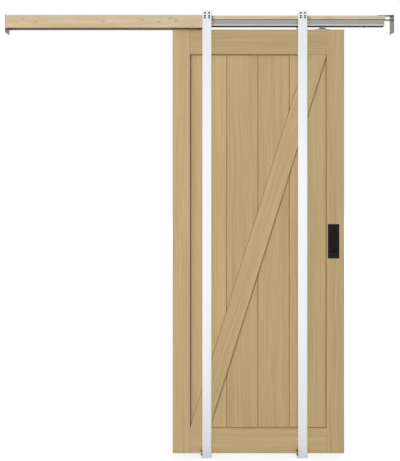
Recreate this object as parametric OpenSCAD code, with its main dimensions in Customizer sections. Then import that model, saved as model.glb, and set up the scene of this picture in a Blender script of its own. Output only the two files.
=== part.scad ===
// Pocket sliding door: a braced plank leaf that hangs on rollers in a top track, with the header,
// split studs and brackets of the frame that goes inside the wall.
// Millimetres. The origin is on the floor, at the middle of the frame's length and depth.
// +X runs to the right along the header, +Y to the back of the wall and +Z up.

/* [Door leaf] */
// Width of the leaf
door_w = 826; // [620:1:1000]
// Height of the leaf
door_h = 2040; // [1900:5:2400]
// Thickness of the stiles and rails
door_t = 40; // [36:1:44]
// How far the leaf stands out of the pocket at rest
rest_out = 143.5; // [0:0.5:500]
// Width of each stile
stile_w = 84; // [70:1:110]
// Height of each rail
rail_h = 120; // [90:1:180]
// Depth of the planks below the face of the stiles
panel_recess = 9; // [6:0.5:12]
// Width of a middle plank, groove to groove
plank_pitch = 151; // [110:1:180]
// Width of the slanting brace, square to its length
brace_w = 89; // [60:1:120]
// Size of each side of the V between two planks and round the panel
v_groove = 4; // [2:0.5:5]
// Bevel on the long edges of the timber
ease = 1.5; // [0.5:0.5:3]
// Length of the tongues that go into the stiles and rails
tongue_l = 11; // [6:1:16]
// Thickness of those tongues
tongue_t = 12; // [8:1:14]
// Length of the tongue between two planks
plank_tongue_l = 7; // [5:1:9]
// Thickness of the tongue between two planks
plank_tongue_t = 7; // [5:1:8]

/* [Flush pull] */
// Width of the pull's plate
pull_w = 54; // [50:1:62]
// Height of the pull's plate
pull_h = 165; // [150:1:200]
// Thickness of the plate, which stands proud of the leaf
pull_t = 2; // [1.5:0.5:2.5]
// Width of the finger recess
cup_w = 28; // [24:1:34]
// Height of the finger recess
cup_h = 109; // [90:1:120]
// Depth of the finger recess below the face of the leaf
cup_depth = 12; // [8:0.5:14]
// Wall of the recessed cup
cup_wall = 1.5; // [1:0.25:2]
// Corner radius of the plate
pull_corner = 3; // [2:0.5:6]
// From the leaf's right edge to the middle of the pull
pull_inset = 51.5; // [40:0.5:60]
// Height of the middle of the pull above the floor
pull_z = 1036; // [900:1:1200]

/* [Header] */
// How much wider than the leaf the gap is from the left end plate to the jamb studs
doorway_spare = 116.5; // [60:0.5:200]
// Room in the pocket behind the open leaf
pocket_spare = 89.5; // [60:0.5:200]
// Depth of the frame over studs and nailers
frame_d = 89; // [86:1:100]
// Width of the pocket between the studs, and of the header board
pocket_w = 49; // [48:0.5:52]
// Thickness of the header board
board_t = 18; // [16:1:22]
// Height of the nailers over the doorway
nailer_h = 62; // [55:1:70]
// From the end of the header board to the outside of the end plate
board_end_gap = 38; // [30:1:60]

/* [Track] */
// Height of the track
track_h = 33.5; // [32:0.5:40]
// Width over the track's lower ribs
track_w = 46; // [44:0.5:47]
// Width of the track's box
track_box_w = 40; // [39:0.5:42]
// Wall of the track's box
track_wall = 2.8; // [2:0.1:3]
// Height of the lower ribs
rib_h = 12; // [10:0.5:14]
// Height of the slope on top of the ribs
rib_slope = 5; // [1:0.5:7]
// Bevel along the ribs' lower edge
rib_bevel = 4; // [1:0.5:6]
// Size of the rebate along the track's top edges
track_rebate = 3; // [1:0.5:4]
// Thickness of the lips that the wheels run on
lip_t = 4; // [3:0.5:5]
// Width of the slot along the bottom
slot_w = 14; // [12:0.5:15]
// From the middle of the track to each running bead
bead_y = 12; // [11.5:0.1:12.2]
// Radius of each running bead
bead_r = 2.2; // [1.8:0.1:2.4]
// Depth of the channel along the track's top
top_channel = 2.5; // [2.2:0.1:3]
// From the middle of the track to each side of that channel
channel_y = 13.5; // [12:0.5:15]
// How far the track stops short of the board at each end
track_setback = 4; // [0:0.5:6]

/* [Hangers] */
// From the leaf's side edge to the middle of a hanger
hanger_inset = 103; // [100:1:140]
// Free height between the leaf and the track
hanger_gap = 15.5; // [15:0.5:24]
// Length of the carriage
carriage_l = 78; // [74:1:90]
// Width of the carriage
carriage_w = 15; // [14:0.5:15.5]
// Height of the carriage
carriage_h = 17.5; // [15:0.5:18]
// Distance between the two axles
axle_pitch = 48; // [40:1:52]
// Radius of an axle
axle_r = 2.5; // [2:0.1:3]
// Radius of a wheel over its flanges
wheel_r = 11.2; // [11:0.1:11.4]
// Width of a wheel
wheel_w = 7.6; // [7:0.1:8]
// Length of the hanger plate
hanger_plate_l = 70; // [64:1:90]
// Width of the hanger plate
hanger_plate_w = 28; // [24:1:34]
// Sheet of the hanger plate
hanger_sheet = 2.5; // [2:0.1:3]
// Radius of the hanger bolt
bolt_r = 4; // [3:0.5:4.5]

/* [Studs] */
// Width of a stud
stud_w = 43.5; // [40:0.5:50]
// How far the studs rise above the header
stud_rise = 21; // [18:1:40]
// Sheet of the studs
stud_sheet = 1.5; // [1:0.1:2]
// Outer bend radius of the studs
stud_bend = 2.5; // [2.2:0.1:4]
// Width of the lips along the pocket side
stud_lip = 8; // [6:0.5:8.5]
// From the middle of the jamb studs to the middle of the pocket studs
stud_pitch = 459; // [250:1:500]

/* [Brackets] */
// Sheet of the end plates, floor brackets and ties
bracket_t = 2; // [1.5:0.1:2.2]
// Drop of the end plates from the top of the header
plate_drop = 85; // [80:1:100]
// How far the end plates' tongues overlap the header board
tongue_overlap = 37; // [25:1:50]
// Radius of the fixing holes in the end plates
plate_hole_r = 2.75; // [2:0.25:3]
// Distance between those holes across the wall
plate_hole_y = 60; // [50:1:66]
// Distance between those holes up the plate
plate_hole_z = 12; // [10:0.5:12]
// Height of the floor brackets' ears
ear_h = 46; // [42:1:60]
// Radius of the holes that take the floor screws
floor_hole_r = 3; // [2:0.25:3.5]
// Distance between those holes across the wall
floor_hole_y = 26; // [20:1:30]

/* [Clearances] */
// Gap between the leaf's bottom edge and the floor
floor_gap = 15; // [11:1:25]
// Hairline gap between two pieces of the leaf
joint_gap = 0.4; // [0.2:0.1:0.6]
// Running gap between pieces that move past each other
run_gap = 0.3; // [0.2:0.05:0.4]
// Gap round a screw, a bolt or an axle
hole_gap = 0.06; // [0.05:0.01:0.1]
// Gap between the guides and the leaf
guide_gap = 1; // [0.6:0.1:1.4]
// How far the shut leaf still reaches past the left side of the jamb studs
jamb_overlap = 44; // [36:1:80]

/* [Hidden] */
$fn = 48;
cut = 1;

// Heights above the floor
door_top = floor_gap + door_h;
track_bottom = door_top + hanger_gap;
track_top = track_bottom + track_h;
header_top = track_top + board_t;
stud_h = header_top + stud_rise;
panel_bottom = floor_gap + rail_h;
panel_top = door_top - rail_h;
panel_h = panel_top - panel_bottom;

// Places along the header, from the leaf's width
doorway_w = door_w + doorway_spare;
pocket_l = door_w + pocket_spare;
plate_in = (doorway_w + pocket_l) / 2;
frame_l = 2 * (plate_in + bracket_t);
board_l = frame_l - 2 * board_end_gap;
track_l = board_l - 2 * track_setback;
jamb_left = doorway_w - plate_in;
jamb_x = jamb_left + stud_w / 2;
pocket_x = jamb_x + stud_pitch;
door_left = jamb_left - rest_out;
door_right = door_left + door_w;
panel_left = door_left + stile_w;
panel_right = door_right - stile_w;
panel_w = panel_right - panel_left;
panel_mid = (panel_left + panel_right) / 2;
hanger_xs = [door_left + hanger_inset, door_right - hanger_inset];
stud_xs = [jamb_x, pocket_x];
pull_x = door_right - pull_inset;

// Travel of the leaf: shut with its tail still between the guides, open when it is flush with the jamb studs
shut_travel = door_right - jamb_left - jamb_overlap;
open_travel = rest_out;

// Depths across the wall
stud_d = (frame_d - pocket_w) / 2;
face_y = frame_d / 2;
pocket_y = pocket_w / 2;
plank_t = door_t - 2 * panel_recess;
groove_t = tongue_t + joint_gap;
groove_d = tongue_l + 1;
guide_t = pocket_y - door_t / 2 - guide_gap;

// Brace: its lower left and upper right corners are the panel's own corners
brace_slope = (panel_w * panel_h - brace_w * sqrt(panel_w ^ 2 + panel_h ^ 2 - brace_w ^ 2))
    / (panel_h ^ 2 - brace_w ^ 2);
brace_angle = atan(brace_slope);

// Track and wheels: the wheels' grooves stand a running gap over the beads
bead_z = track_bottom + lip_t;
groove_r = bead_r + run_gap;
wheel_flange_lift = 0.5;
axle_z = bead_z + wheel_flange_lift + wheel_r;
groove_place = axle_z - bead_z;
track_web = 2.5;
cavity_top = track_top - top_channel - track_web;
cavity_y = track_box_w / 2 - track_wall;

// Hanger plate: a top hat whose bridge holds the bolt's head
bolt_head_h = 5;
bolt_head_af = 13;
bridge_in = 27;
bridge_under = door_top + bolt_head_h + 1;
jam_nut_h = 4.5;
axle_head_h = 0.6;
axle_head_r = axle_r + 1.5;
axle_end = bead_y + wheel_w / 2 + 0.2;

// Track stops: a block and a rubber buffer that meets the carriage's nose
buffer_l = 8;
buffer_r = 6;
stop_l = 26;
stop_side_gap = 0.4;
left_stop_face = hanger_xs[0] - shut_travel - carriage_l / 2 - run_gap;
right_stop_face = hanger_xs[1] + open_travel + carriage_l / 2 + run_gap;

// Screws: radius of the shank, radius and height of the head
wood_screw_r = 2;
pan_head_r = 4;
pan_head_h = 2.4;
recess_w = 1.1;
recess_l = 4.4;
recess_d = 1.3;
tip_l = 3;
small_screw_r = 1.5;
small_head_r = 3;

// Stud screws: two rows go into the header board's edge and one into the tie above it
stud_screw_x = 10;
board_row = 4.5;
board_screw_bite = 21;
tie_row = 9.5;
tie_screw_l = 8;
tie_w = stud_w - 2 * stud_lip - 2;
tie_h = stud_rise - 2;

// Floor brackets
notch_sill = 8;
floor_leg = 34;
ear_inset = 2;
ear_screw_zs = [15, 33];
ear_screw_l = 9;
ear_head_af = 8;
ear_head_h = 5;
ear_washer_r = 5.2;
ear_washer_h = 1.2;

// Guides at the foot of the jamb studs
guide_h = 60;
guide_z = floor_gap + 5;
guide_w = stud_w - 3;
guide_lead = 6;
guide_screw_x = (stud_w - stud_lip) / 2 - stud_sheet / 2;
guide_screw_l = 7;

// Screws: those at the track's ends stand halfway between the right stop and the end bracket's tongue
tongue_in = board_l / 2 - tongue_overlap;
track_screw_n = 6;
track_screw_x = (right_stop_face + buffer_l + stop_l + tongue_in) / 2;
track_screw_l = 18;
end_screw_y = 14;
end_screw_l = 15;
hanger_screw_clear = 1.5;
hanger_screw_x = bridge_in / 2 + hanger_sheet + pan_head_r + hanger_screw_clear;
hanger_screw_l = 32;
pull_screw_z = (pull_h + cup_h) / 4;
pull_screw_l = 16;
pull_screw_head_r = 3.5;

// Colours
oak = [0.74, 0.64, 0.47];
pine = [0.82, 0.73, 0.58];
aluminium = [0.66, 0.66, 0.65];
white_steel = [0.94, 0.95, 0.96];
zinc = [0.55, 0.56, 0.54];
black = [0.12, 0.12, 0.12];
nylon = [0.88, 0.87, 0.83];
rubber = [0.10, 0.10, 0.10];

// Extrudes an outline in the YZ plane along +X
module along_x(length) {
    rotate([90, 0, 90]) linear_extrude(length) children();
}

// Extrudes an outline in the XZ plane along +Y
module along_y(length) {
    translate([0, length, 0]) rotate([90, 0, 0]) linear_extrude(length) children();
}

// Repeats a piece on the back of the wall
module both_faces() {
    children();
    mirror([0, 1, 0]) children();
}

// Rectangle with its four corners bevelled, centred
module bevelled(w, h, bevel) {
    polygon([
        [-w / 2 + bevel, -h / 2], [w / 2 - bevel, -h / 2], [w / 2, -h / 2 + bevel], [w / 2, h / 2 - bevel],
        [w / 2 - bevel, h / 2], [-w / 2 + bevel, h / 2], [-w / 2, h / 2 - bevel], [-w / 2, -h / 2 + bevel]
    ]);
}

// Rectangle with its four corners rounded, centred
module rounded(w, h, r) {
    square([w - 2 * r, h], center = true);
    square([w, h - 2 * r], center = true);
    for (sx = [-1, 1], sy = [-1, 1])
        translate([sx * (w / 2 - r), sy * (h / 2 - r)]) circle(r);
}

// Cross recess, cut down from the top of a screw's head at z = 0
module cross_recess() {
    for (turn = [0, 90])
        rotate(turn) translate([-recess_l / 2, -recess_w / 2, -recess_d])
            cube([recess_l, recess_w, recess_d + cut]);
}

// Pan head screw: the head stands on z = 0 and the shank goes down
module pan_screw(shank_r, length, head_r = pan_head_r) {
    difference() {
        union() {
            cylinder(h = pan_head_h * 0.6, r = head_r);
            translate([0, 0, pan_head_h * 0.6])
                cylinder(h = pan_head_h * 0.4, r1 = head_r, r2 = head_r * 0.7);
            translate([0, 0, tip_l - length]) cylinder(h = length - tip_l, r = shank_r);
            translate([0, 0, -length]) cylinder(h = tip_l, r1 = shank_r * 0.4, r2 = shank_r);
        }
        translate([0, 0, pan_head_h]) cross_recess();
    }
}

// Countersunk screw: the head's flat top is at z = 0 and the shank goes down
module flat_screw(shank_r, length, head_r) {
    difference() {
        union() {
            translate([0, 0, shank_r - head_r]) cylinder(h = head_r - shank_r, r1 = shank_r, r2 = head_r);
            translate([0, 0, tip_l - length]) cylinder(h = length + shank_r - head_r - tip_l, r = shank_r);
            translate([0, 0, -length]) cylinder(h = tip_l, r1 = shank_r * 0.4, r2 = shank_r);
        }
        cross_recess();
    }
}

// Hole for a screw whose head stands on z = 0
module screw_hole(shank_r, length) {
    translate([0, 0, -length - hole_gap]) cylinder(h = length + hole_gap + cut, r = shank_r + hole_gap);
}

// Hole and countersink for a screw whose flat top is at z = 0
module flat_screw_hole(shank_r, length, head_r) {
    screw_hole(shank_r, length);
    translate([0, 0, shank_r - head_r])
        cylinder(h = head_r - shank_r + cut, r1 = shank_r + hole_gap, r2 = head_r + hole_gap + cut);
}

// Where the screws of one front stud go, heads to the front. rows names the heights
module stud_screw_places(x, rows) {
    for (sx = [-1, 1], z = rows)
        translate([x + sx * stud_screw_x, -face_y, z]) rotate([90, 0, 0]) children();
}

// Rows of stud screws: into the tie, and into the header board's edge
tie_rows = [header_top + tie_row];
board_rows = [header_top - board_t / 2 + board_row, header_top - board_t / 2 - board_row];

// Where the screws up through the track go, heads down inside it
module track_screw_places() {
    for (i = [0:track_screw_n - 1])
        translate([(2 * i / (track_screw_n - 1) - 1) * track_screw_x, 0, cavity_top])
            rotate([180, 0, 0]) children();
}

// Where the screws of the end brackets go, heads on the top tongues
module end_screw_places() {
    for (sx = [-1, 1], sy = [-1, 1])
        translate([sx * (board_l / 2 - tongue_overlap / 2), sy * end_screw_y, header_top + bracket_t])
            children();
}

// Where the screws of one stud pair's floor bracket go, heads to the left
module ear_screw_places(x) {
    for (sy = [-1, 1], z = ear_screw_zs)
        translate([x - stud_w / 2 - bracket_t, sy * (face_y - stud_d / 2), z]) rotate([0, -90, 0]) children();
}

// Where the screws of the front door guide go, heads to the leaf
module guide_screw_places() {
    for (sx = [-1, 1])
        translate([jamb_x + sx * guide_screw_x, guide_t - pocket_y, guide_z + guide_h / 2])
            rotate([-90, 0, 0]) children();
}

// Where the screws of the hanger plates go, heads up
module hanger_screw_places() {
    for (x = hanger_xs, sx = [-1, 1])
        translate([x + sx * hanger_screw_x, 0, door_top + hanger_sheet]) children();
}

// Where the screws of the front pull go, heads to the front
module pull_screw_places() {
    for (sz = [-1, 1])
        translate([pull_x, -door_t / 2 - pull_t, pull_z + sz * pull_screw_z]) rotate([90, 0, 0]) children();
}

module header_board() {
    color(pine) difference() {
        translate([-board_l / 2, 0, header_top - board_t / 2])
            along_x(board_l) bevelled(pocket_w, board_t, ease / 2);
        both_faces() for (x = stud_xs)
            stud_screw_places(x, board_rows) screw_hole(wood_screw_r, stud_d + board_screw_bite);
        track_screw_places() screw_hole(wood_screw_r, track_screw_l);
        end_screw_places() screw_hole(wood_screw_r, end_screw_l);
    }
}

// Board over the doorway, from the left end plate to the jamb stud
module front_nailer() {
    color(pine) translate([-plate_in, stud_d / 2 - face_y, header_top - nailer_h / 2])
        along_x(plate_in + jamb_left) bevelled(stud_d, nailer_h, ease);
}

// Half outline of the track, from the slot round the box to the middle of its top
module track_half() {
    difference() {
        polygon([
            [0, 0], [track_w / 2 - rib_bevel, 0], [track_w / 2, rib_bevel], [track_w / 2, rib_h - rib_slope],
            [track_box_w / 2, rib_h], [track_box_w / 2, track_h - track_rebate],
            [track_box_w / 2 - track_rebate, track_h - track_rebate], [track_box_w / 2 - track_rebate, track_h],
            [0, track_h]
        ]);
        translate([-cut, -cut]) square([slot_w / 2 + cut, track_h / 2]);
        translate([-cut, lip_t]) square([cavity_y + cut, cavity_top - bead_z]);
        translate([-cut, track_h - top_channel]) square([channel_y + cut, top_channel + cut]);
    }
    intersection() {
        translate([bead_y, lip_t]) circle(bead_r);
        translate([0, lip_t / 2]) square([track_box_w / 2, track_h / 2]);
    }
}

module track() {
    color(aluminium) difference() {
        translate([-track_l / 2, 0, track_bottom]) along_x(track_l) {
            track_half();
            mirror([1, 0]) track_half();
        }
        track_screw_places() screw_hole(wood_screw_r, track_screw_l);
    }
}

// Plate against the wall, a tongue on the board and a tongue in the channel along the track's top
module right_end_bracket() {
    under = track_top - top_channel + (top_channel - bracket_t) / 2;
    hole_z = header_top - plate_drop + (plate_drop - nailer_h) / 2;
    color(zinc) difference() {
        union() {
            translate([plate_in, 0, header_top - plate_drop / 2 + bracket_t / 2])
                along_x(bracket_t) rounded(frame_d, plate_drop + bracket_t, 3);
            translate([tongue_in, -pocket_y, header_top])
                cube([plate_in - tongue_in + cut, pocket_w, bracket_t]);
            translate([tongue_in, joint_gap - channel_y, under])
                cube([plate_in - tongue_in + cut, 2 * (channel_y - joint_gap), bracket_t]);
            translate([board_l / 2 + joint_gap, -pocket_y, under])
                cube([plate_in - board_l / 2 - joint_gap + cut, pocket_w, bracket_t]);
        }
        for (sy = [-1, 1], sz = [-1, 1])
            translate([plate_in - cut, sy * plate_hole_y / 2, hole_z + sz * plate_hole_z / 2])
                rotate([0, 90, 0]) cylinder(h = bracket_t + 2 * cut, r = plate_hole_r);
        end_screw_places() screw_hole(wood_screw_r, end_screw_l);
    }
}

module end_bracket_screws() {
    color(zinc) end_screw_places() pan_screw(wood_screw_r, end_screw_l);
}

module track_screws() {
    color(zinc) track_screw_places() pan_screw(wood_screw_r, track_screw_l);
}

// Block inside the track, clamped on the lips by a screw through the slot. toward is the buffer's side
module track_stop(face, toward) {
    from = toward > 0 ? face - buffer_l - stop_l : face + buffer_l;
    base = bead_z + bead_r + run_gap;
    color(zinc) difference() {
        translate([from, -cavity_y + stop_side_gap, base])
            cube([stop_l, 2 * (cavity_y - stop_side_gap), cavity_top - base - stop_side_gap]);
        translate([from + stop_l / 2, 0, base]) cylinder(h = track_h, r = wood_screw_r + hole_gap);
    }
}

// Rubber button on the stop's face
module stop_buffer(face, toward) {
    color(rubber) translate([toward > 0 ? face - buffer_l : face + buffer_l, 0, axle_z])
        rotate([0, toward > 0 ? 90 : -90, 0]) {
            cylinder(h = buffer_l - 2, r = buffer_r);
            translate([0, 0, buffer_l - 2]) cylinder(h = 2, r1 = buffer_r, r2 = buffer_r - 1.5);
        }
}

// Clamp screws of the two stops, heads under the lips
module track_stop_screws() {
    washer_h = 1.6;
    color(zinc) for (x = [left_stop_face - buffer_l - stop_l / 2, right_stop_face + buffer_l + stop_l / 2])
        translate([x, 0, track_bottom]) {
            translate([0, 0, -washer_h]) cylinder(h = washer_h, r = slot_w / 2 + 3);
            translate([0, 0, -washer_h - pan_head_h]) cylinder(h = pan_head_h, r = pan_head_r);
            cylinder(h = cavity_top - track_bottom - 4, r = wood_screw_r);
        }
}

// Roll formed channel with lips, open to the pocket
module stud_outline() {
    difference() {
        rounded(stud_w, stud_d, stud_bend);
        rounded(stud_w - 2 * stud_sheet, stud_d - 2 * stud_sheet, stud_bend - stud_sheet);
        translate([-stud_w / 2 + stud_lip, 0]) square([stud_w - 2 * stud_lip, stud_d]);
    }
}

module front_stud(x) {
    color(white_steel) difference() {
        translate([x, stud_d / 2 - face_y, 0]) linear_extrude(stud_h) stud_outline();
        stud_screw_places(x, concat(tie_rows, board_rows)) screw_hole(wood_screw_r, stud_d / 2);
        ear_screw_places(x) screw_hole(small_screw_r, ear_screw_l);
        if (x == jamb_x) guide_screw_places() screw_hole(small_screw_r, guide_screw_l);
    }
}

module stud_screws() {
    color(black) both_faces() for (x = stud_xs) {
        stud_screw_places(x, tie_rows) pan_screw(wood_screw_r, tie_screw_l);
        stud_screw_places(x, board_rows) pan_screw(wood_screw_r, stud_d + board_screw_bite);
    }
}

// Strap over the header board whose turned up ends lie against the two webs
module stud_tie(x) {
    reach = face_y - stud_sheet;
    color(zinc) difference() {
        union() {
            translate([x - tie_w / 2, -reach, header_top]) cube([tie_w, 2 * reach, bracket_t]);
            both_faces() translate([x - tie_w / 2, -reach, header_top]) cube([tie_w, bracket_t, tie_h]);
        }
        both_faces() stud_screw_places(x, tie_rows) screw_hole(wood_screw_r, tie_screw_l);
    }
}

// Angle on the floor between two studs. Its wall stands along their left sides, with a notch for the leaf
module floor_bracket(x) {
    left = x - stud_w / 2 - bracket_t;
    depth = frame_d - 2 * ear_inset;
    notch_w = pocket_w - 1;
    color(zinc) difference() {
        union() {
            translate([left, -depth / 2, 0]) cube([bracket_t, depth, ear_h]);
            translate([left, -notch_w / 2, 0]) cube([floor_leg, notch_w, bracket_t]);
        }
        translate([left - cut, -notch_w / 2, notch_sill]) cube([bracket_t + 2 * cut, notch_w, ear_h]);
        ear_screw_places(x) screw_hole(small_screw_r, ear_screw_l);
        for (sy = [-1, 1])
            translate([left + floor_leg / 2, sy * floor_hole_y / 2, -cut])
                cylinder(h = bracket_t + 2 * cut, r = floor_hole_r);
    }
}

// Hex headed screw with a pressed washer: the washer stands on z = 0 and the shank goes down
module hex_screw(shank_r, length) {
    cylinder(h = ear_washer_h, r = ear_washer_r);
    translate([0, 0, ear_washer_h]) cylinder(h = ear_head_h - ear_washer_h, r = ear_head_af / sqrt(3), $fn = 6);
    translate([0, 0, tip_l - length]) cylinder(h = length - tip_l, r = shank_r);
    translate([0, 0, -length]) cylinder(h = tip_l, r1 = shank_r * 0.4, r2 = shank_r);
}

module floor_bracket_screws() {
    color(black) for (x = stud_xs) ear_screw_places(x) hex_screw(small_screw_r, ear_screw_l);
}

// Nylon pad that keeps the leaf's foot in the middle of the pocket
module front_door_guide() {
    color(nylon) difference() {
        translate([jamb_x, -pocket_y, guide_z]) linear_extrude(guide_h)
            polygon([
                [-guide_w / 2, 0], [guide_w / 2, 0], [guide_w / 2, guide_t / 3],
                [guide_w / 2 - guide_lead, guide_t], [-guide_w / 2 + guide_lead, guide_t],
                [-guide_w / 2, guide_t / 3]
            ]);
        guide_screw_places() flat_screw_hole(small_screw_r, guide_screw_l, small_head_r);
    }
}

module guide_screws() {
    color(zinc) both_faces() guide_screw_places() flat_screw(small_screw_r, guide_screw_l, small_head_r);
}

// Outline of a stile on the left, with the groove in its inner edge
module stile_outline() {
    difference() {
        bevelled(stile_w, door_t, ease);
        translate([stile_w / 2 - groove_d, -groove_t / 2]) square([groove_d + cut, groove_t]);
    }
}

module left_stile() {
    color(oak) difference() {
        translate([door_left + stile_w / 2, 0, floor_gap]) linear_extrude(door_h) stile_outline();
        hanger_screw_places() screw_hole(wood_screw_r, hanger_screw_l);
    }
}

// Mortise in the front of the right stile for the pull's cup
module pull_mortise() {
    pocket_gap = 1;
    translate([pull_x, -door_t / 2 - cut, pull_z]) along_y(cup_depth + cup_wall + joint_gap + cut)
        rounded(cup_w + 2 * cup_wall + pocket_gap, cup_h + 2 * cup_wall + pocket_gap, pull_corner);
}

module right_stile() {
    color(oak) difference() {
        translate([door_right - stile_w / 2, 0, floor_gap]) linear_extrude(door_h)
            mirror([1, 0]) stile_outline();
        hanger_screw_places() screw_hole(wood_screw_r, hanger_screw_l);
        both_faces() {
            pull_mortise();
            pull_screw_places() screw_hole(wood_screw_r, pull_screw_l);
        }
    }
}

// Rail between the stiles, with stub tenons in their grooves. It is drawn as the top rail, groove down
module rail() {
    length = panel_w - joint_gap;
    translate([panel_mid - length / 2, 0, panel_top + rail_h / 2]) along_x(length) difference() {
        bevelled(door_t, rail_h, ease);
        translate([-groove_t / 2, -rail_h / 2 - cut]) square([groove_t, groove_d + cut]);
    }
    translate([panel_left - tongue_l, -tongue_t / 2, panel_top + groove_d])
        cube([panel_w + 2 * tongue_l, tongue_t, rail_h - groove_d]);
}

module top_rail() {
    color(oak) difference() {
        rail();
        hanger_screw_places() screw_hole(wood_screw_r, hanger_screw_l);
    }
}

module bottom_rail() {
    color(oak) translate([0, 0, floor_gap + door_top]) mirror([0, 0, 1]) rail();
}

// Edges of the four planks, left to right
plank_edges = [panel_left, panel_mid - plank_pitch, panel_mid, panel_mid + plank_pitch, panel_right];

// Section of one plank: V edges with tongue and groove towards its neighbours, a long tongue towards a stile
module plank_outline(i) {
    first = i == 0;
    last = i == len(plank_edges) - 2;
    left = plank_edges[i] + joint_gap / 2;
    right = plank_edges[i + 1] - joint_gap / 2;
    half = plank_t / 2;
    difference() {
        union() {
            polygon([
                [left, v_groove - half], [left + v_groove, -half],
                [right - v_groove, -half], [right, v_groove - half],
                [right, half - v_groove], [right - v_groove, half],
                [left + v_groove, half], [left, half - v_groove]
            ]);
            if (first) translate([left - tongue_l, -tongue_t / 2]) square([tongue_l + cut, tongue_t]);
            if (last) translate([right - cut, -tongue_t / 2]) square([tongue_l + cut, tongue_t]);
            else translate([right - cut, -plank_tongue_t / 2]) square([plank_tongue_l + cut, plank_tongue_t]);
        }
        if (!first)
            translate([left - cut, -plank_tongue_t / 2 - joint_gap / 2])
                square([plank_tongue_l + joint_gap + cut, plank_tongue_t + joint_gap]);
    }
}

module plank(i) {
    color(oak) difference() {
        translate([0, 0, panel_bottom - tongue_l]) linear_extrude(panel_h + 2 * tongue_l) plank_outline(i);
        for (z = [panel_bottom - tongue_l - cut, panel_top - joint_gap], sy = [-1, 1])
            translate([door_left, sy * (tongue_t / 2 + door_t / 2) - door_t / 2, z])
                cube([door_w, door_t, tongue_l + joint_gap + cut]);
        for (z = [panel_bottom + joint_gap, panel_top - joint_gap], sy = [-1, 1])
            translate([panel_mid, sy * plank_t / 2, z]) rotate([45, 0, 0])
                cube([door_w, v_groove * sqrt(2), v_groove * sqrt(2)], center = true);
    }
}

// Slanting board on the front of the planks, flush with the stiles and cut level at the rails
module front_brace() {
    run = panel_h / cos(brace_angle) + 2 * brace_w;
    edge = ease;
    color(oak) intersection() {
        translate([panel_left, 0, panel_bottom]) rotate([0, brace_angle, 0])
            translate([0, 0, -brace_w]) linear_extrude(run)
                polygon([
                    [0, -plank_t / 2], [0, edge - door_t / 2], [edge, -door_t / 2],
                    [brace_w - edge, -door_t / 2], [brace_w, edge - door_t / 2], [brace_w, -plank_t / 2]
                ]);
        translate([panel_left + joint_gap / 2, -door_t, panel_bottom + joint_gap / 2])
            cube([panel_w - joint_gap, door_t, panel_h - joint_gap]);
    }
}

// Plate with a pressed cup for the fingers
module front_pull() {
    color(black) translate([pull_x, -door_t / 2, pull_z]) difference() {
        union() {
            translate([0, -pull_t, 0]) along_y(pull_t) rounded(pull_w, pull_h, pull_corner);
            along_y(cup_depth + cup_wall) rounded(cup_w + 2 * cup_wall, cup_h + 2 * cup_wall, pull_corner);
        }
        translate([0, -pull_t - cut, 0]) along_y(pull_t + cup_depth + cut)
            rounded(cup_w, cup_h, pull_corner - 0.5);
        translate([-pull_x, door_t / 2, -pull_z]) pull_screw_places()
            flat_screw_hole(wood_screw_r, pull_screw_l, pull_screw_head_r);
    }
}

module pull_screws() {
    color(black) both_faces() pull_screw_places() flat_screw(wood_screw_r, pull_screw_l, pull_screw_head_r);
}

// Top hat on the leaf's top edge. The bolt slides in from the front through the slot in its bridge
module hanger_plate(x) {
    wing = hanger_plate_l / 2;
    inside = bridge_in / 2;
    top = bridge_under - door_top;
    color(zinc) difference() {
        translate([x, -hanger_plate_w / 2, door_top]) along_y(hanger_plate_w)
            polygon([
                [-wing, 0], [-inside, 0], [-inside, top], [inside, top], [inside, 0], [wing, 0],
                [wing, hanger_sheet], [inside + hanger_sheet, hanger_sheet],
                [inside + hanger_sheet, top + hanger_sheet], [-inside - hanger_sheet, top + hanger_sheet],
                [-inside - hanger_sheet, hanger_sheet], [-wing, hanger_sheet]
            ]);
        translate([x, 0, door_top]) cylinder(h = hanger_gap, r = bolt_r + hole_gap);
        translate([x - bolt_r - hole_gap, -hanger_plate_w, bridge_under - cut])
            cube([2 * (bolt_r + hole_gap), hanger_plate_w, hanger_sheet + 2 * cut]);
        hanger_screw_places() screw_hole(wood_screw_r, hanger_screw_l);
    }
}

module hanger_plate_screws() {
    color(zinc) hanger_screw_places() pan_screw(wood_screw_r, hanger_screw_l);
}

// Bolt whose hex head hangs in the bridge and whose top is screwed into the carriage
module hanger_bolt(x) {
    top = axle_z + carriage_h / 2 - 1;
    color(zinc) translate([x, 0, 0]) {
        translate([0, 0, bridge_under - bolt_head_h])
            cylinder(h = bolt_head_h, r = bolt_head_af / sqrt(3), $fn = 6);
        translate([0, 0, bridge_under - cut]) cylinder(h = top - bridge_under + cut, r = bolt_r);
    }
}

module jam_nut(x) {
    color(zinc) translate([x, 0, bridge_under + hanger_sheet]) difference() {
        cylinder(h = jam_nut_h, r = bolt_head_af / sqrt(3), $fn = 6);
        translate([0, 0, -cut]) cylinder(h = jam_nut_h + 2 * cut, r = bolt_r + hole_gap);
    }
}

// Round ended block between the wheels
module carriage(x) {
    nose = carriage_h / 2;
    color(zinc) difference() {
        translate([x, -carriage_w / 2, axle_z]) along_y(carriage_w) {
            square([carriage_l - carriage_h, carriage_h], center = true);
            for (sx = [-1, 1]) translate([sx * (carriage_l / 2 - nose), 0]) circle(nose);
        }
        translate([x, 0, axle_z - carriage_h]) cylinder(h = 2 * carriage_h, r = bolt_r + hole_gap);
        for (sx = [-1, 1])
            translate([x + sx * axle_pitch / 2, -carriage_w, axle_z])
                rotate([-90, 0, 0]) cylinder(h = 2 * carriage_w, r = axle_r + hole_gap);
    }
}

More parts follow.
